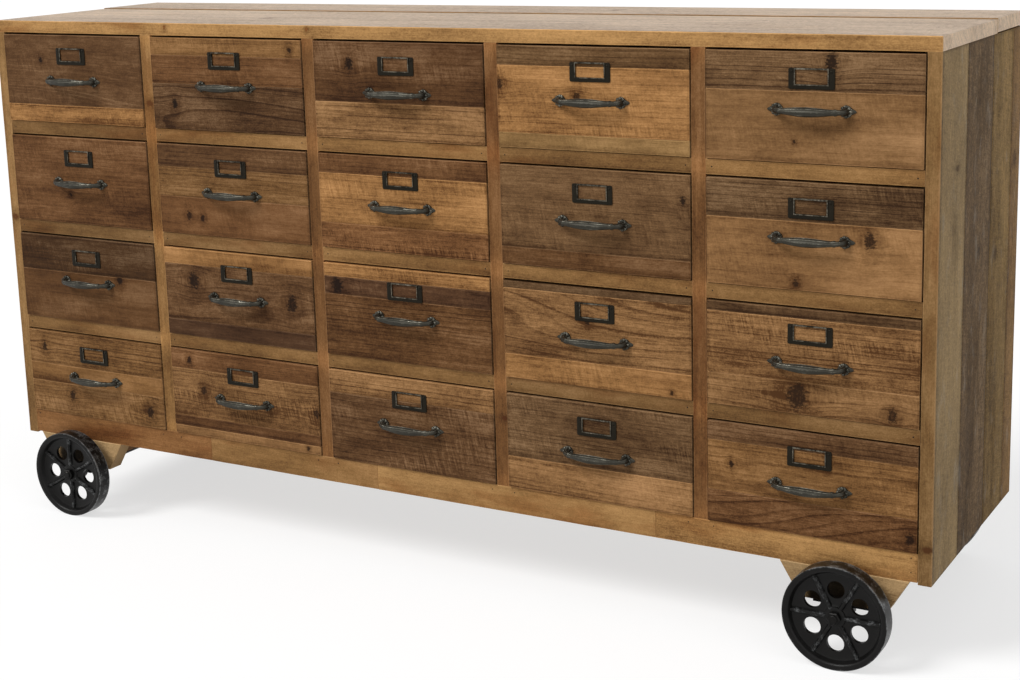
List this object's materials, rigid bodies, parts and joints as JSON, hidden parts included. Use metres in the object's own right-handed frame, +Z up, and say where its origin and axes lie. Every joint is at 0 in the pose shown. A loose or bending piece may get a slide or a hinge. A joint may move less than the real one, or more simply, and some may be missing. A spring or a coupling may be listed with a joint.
{
  "type": "rolling chest of drawers",
  "caption": "Low wide chest of reclaimed wood with a grid of small inset drawers, each with a bow pull and a label holder, standing on spoked cast-iron wheels.",
  "frame": {"origin": "on the floor, below the middle of the case", "axes": "+X to the right seen from the front, +Y from front to back, +Z up"},
  "size_m": [1.65, 0.5066, 0.8668],
  "materials": {
    "honey_frame_wood": "oiled honey-brown softwood",
    "brown_drawer_wood": "oiled reclaimed boards, brown to honey",
    "weathered_side_wood": "weathered grey-brown boards",
    "pale_top_wood": "pale oiled boards",
    "raw_inner_wood": "raw sawn boards",
    "blackened_pewter": "blackened, rubbed bright on the high spots",
    "black_cast_iron": "black, worn bright on the tread edges",
    "dark_axle_steel": "darkened"
  },
  "bodies": {
    "case": {"top_front_plank": "pale_top_wood", "top_rear_plank": "pale_top_wood", "left_side_panel": "weathered_side_wood", "right_side_panel": "weathered_side_wood", "back_panel": "raw_inner_wood", "bottom_panel": "raw_inner_wood", "base_rail": "honey_frame_wood", "face_frame": "honey_frame_wood", "partition_1": "raw_inner_wood", "partition_2": "raw_inner_wood", "partition_3": "raw_inner_wood", "partition_4": "raw_inner_wood", "left_axle_carrier": "honey_frame_wood", "right_axle_carrier": "honey_frame_wood", "left_axle": "dark_axle_steel", "right_axle": "dark_axle_steel"},
    "drawer_r1_c1": {"drawer_r1_c1": "brown_drawer_wood", "pull_r1_c1": "blackened_pewter"},
    "drawer_r1_c2": {"drawer_r1_c2": "brown_drawer_wood", "pull_r1_c2": "blackened_pewter"},
    "drawer_r1_c3": {"drawer_r1_c3": "brown_drawer_wood", "pull_r1_c3": "blackened_pewter"},
    "drawer_r1_c4": {"drawer_r1_c4": "brown_drawer_wood", "pull_r1_c4": "blackened_pewter"},
    "drawer_r1_c5": {"drawer_r1_c5": "brown_drawer_wood", "pull_r1_c5": "blackened_pewter"},
    "drawer_r2_c1": {"drawer_r2_c1": "brown_drawer_wood", "pull_r2_c1": "blackened_pewter"},
    "drawer_r2_c2": {"drawer_r2_c2": "brown_drawer_wood", "pull_r2_c2": "blackened_pewter"},
    "drawer_r2_c3": {"drawer_r2_c3": "brown_drawer_wood", "pull_r2_c3": "blackened_pewter"},
    "drawer_r2_c4": {"drawer_r2_c4": "brown_drawer_wood", "pull_r2_c4": "blackened_pewter"},
    "drawer_r2_c5": {"drawer_r2_c5": "brown_drawer_wood", "pull_r2_c5": "blackened_pewter"},
    "drawer_r3_c1": {"drawer_r3_c1": "brown_drawer_wood", "pull_r3_c1": "blackened_pewter"},
    "drawer_r3_c2": {"drawer_r3_c2": "brown_drawer_wood", "pull_r3_c2": "blackened_pewter"},
    "drawer_r3_c3": {"drawer_r3_c3": "brown_drawer_wood", "pull_r3_c3": "blackened_pewter"},
    "drawer_r3_c4": {"drawer_r3_c4": "brown_drawer_wood", "pull_r3_c4": "blackened_pewter"},
    "drawer_r3_c5": {"drawer_r3_c5": "brown_drawer_wood", "pull_r3_c5": "blackened_pewter"},
    "drawer_r4_c1": {"drawer_r4_c1": "brown_drawer_wood", "pull_r4_c1": "blackened_pewter"},
    "drawer_r4_c2": {"drawer_r4_c2": "brown_drawer_wood", "pull_r4_c2": "blackened_pewter"},
    "drawer_r4_c3": {"drawer_r4_c3": "brown_drawer_wood", "pull_r4_c3": "blackened_pewter"},
    "drawer_r4_c4": {"drawer_r4_c4": "brown_drawer_wood", "pull_r4_c4": "blackened_pewter"},
    "drawer_r4_c5": {"drawer_r4_c5": "brown_drawer_wood", "pull_r4_c5": "blackened_pewter"},
    "wheel_front_left": {"wheel_front_left": "black_cast_iron"},
    "wheel_front_right": {"wheel_front_right": "black_cast_iron"},
    "wheel_rear_left": {"wheel_rear_left": "black_cast_iron"},
    "wheel_rear_right": {"wheel_rear_right": "black_cast_iron"}
  },
  "joints": [
    {"name": "drawer_r1_c1_slide", "type": "slide", "parent": "case", "child": "drawer_r1_c1", "axis": [0, -1, 0], "range_m": [0, 0.3]},
    {"name": "drawer_r1_c2_slide", "type": "slide", "parent": "case", "child": "drawer_r1_c2", "axis": [0, -1, 0], "range_m": [0, 0.3]},
    {"name": "drawer_r1_c3_slide", "type": "slide", "parent": "case", "child": "drawer_r1_c3", "axis": [0, -1, 0], "range_m": [0, 0.3]},
    {"name": "drawer_r1_c4_slide", "type": "slide", "parent": "case", "child": "drawer_r1_c4", "axis": [0, -1, 0], "range_m": [0, 0.3]},
    {"name": "drawer_r1_c5_slide", "type": "slide", "parent": "case", "child": "drawer_r1_c5", "axis": [0, -1, 0], "range_m": [0, 0.3]},
    {"name": "drawer_r2_c1_slide", "type": "slide", "parent": "case", "child": "drawer_r2_c1", "axis": [0, -1, 0], "range_m": [0, 0.3]},
    {"name": "drawer_r2_c2_slide", "type": "slide", "parent": "case", "child": "drawer_r2_c2", "axis": [0, -1, 0], "range_m": [0, 0.3]},
    {"name": "drawer_r2_c3_slide", "type": "slide", "parent": "case", "child": "drawer_r2_c3", "axis": [0, -1, 0], "range_m": [0, 0.3]},
    {"name": "drawer_r2_c4_slide", "type": "slide", "parent": "case", "child": "drawer_r2_c4", "axis": [0, -1, 0], "range_m": [0, 0.3]},
    {"name": "drawer_r2_c5_slide", "type": "slide", "parent": "case", "child": "drawer_r2_c5", "axis": [0, -1, 0], "range_m": [0, 0.3]},
    {"name": "drawer_r3_c1_slide", "type": "slide", "parent": "case", "child": "drawer_r3_c1", "axis": [0, -1, 0], "range_m": [0, 0.3]},
    {"name": "drawer_r3_c2_slide", "type": "slide", "parent": "case", "child": "drawer_r3_c2", "axis": [0, -1, 0], "range_m": [0, 0.3]},
    {"name": "drawer_r3_c3_slide", "type": "slide", "parent": "case", "child": "drawer_r3_c3", "axis": [0, -1, 0], "range_m": [0, 0.3]},
    {"name": "drawer_r3_c4_slide", "type": "slide", "parent": "case", "child": "drawer_r3_c4", "axis": [0, -1, 0], "range_m": [0, 0.3]},
    {"name": "drawer_r3_c5_slide", "type": "slide", "parent": "case", "child": "drawer_r3_c5", "axis": [0, -1, 0], "range_m": [0, 0.3]},
    {"name": "drawer_r4_c1_slide", "type": "slide", "parent": "case", "child": "drawer_r4_c1", "axis": [0, -1, 0], "range_m": [0, 0.3]},
    {"name": "drawer_r4_c2_slide", "type": "slide", "parent": "case", "child": "drawer_r4_c2", "axis": [0, -1, 0], "range_m": [0, 0.3]},
    {"name": "drawer_r4_c3_slide", "type": "slide", "parent": "case", "child": "drawer_r4_c3", "axis": [0, -1, 0], "range_m": [0, 0.3]},
    {"name": "drawer_r4_c4_slide", "type": "slide", "parent": "case", "child": "drawer_r4_c4", "axis": [0, -1, 0], "range_m": [0, 0.3]},
    {"name": "drawer_r4_c5_slide", "type": "slide", "parent": "case", "child": "drawer_r4_c5", "axis": [0, -1, 0], "range_m": [0, 0.3]},
    {"name": "wheel_front_left_spin", "type": "hinge", "parent": "case", "child": "wheel_front_left", "pos_m": [-0.702, -0.237, 0.075], "axis": [0, 1, 0], "continuous": true},
    {"name": "wheel_front_right_spin", "type": "hinge", "parent": "case", "child": "wheel_front_right", "pos_m": [0.702, -0.237, 0.075], "axis": [0, 1, 0], "continuous": true},
    {"name": "wheel_rear_left_spin", "type": "hinge", "parent": "case", "child": "wheel_rear_left", "pos_m": [-0.702, 0.237, 0.075], "axis": [0, 1, 0], "continuous": true},
    {"name": "wheel_rear_right_spin", "type": "hinge", "parent": "case", "child": "wheel_rear_right", "pos_m": [0.702, 0.237, 0.075], "axis": [0, 1, 0], "continuous": true}
  ]
}
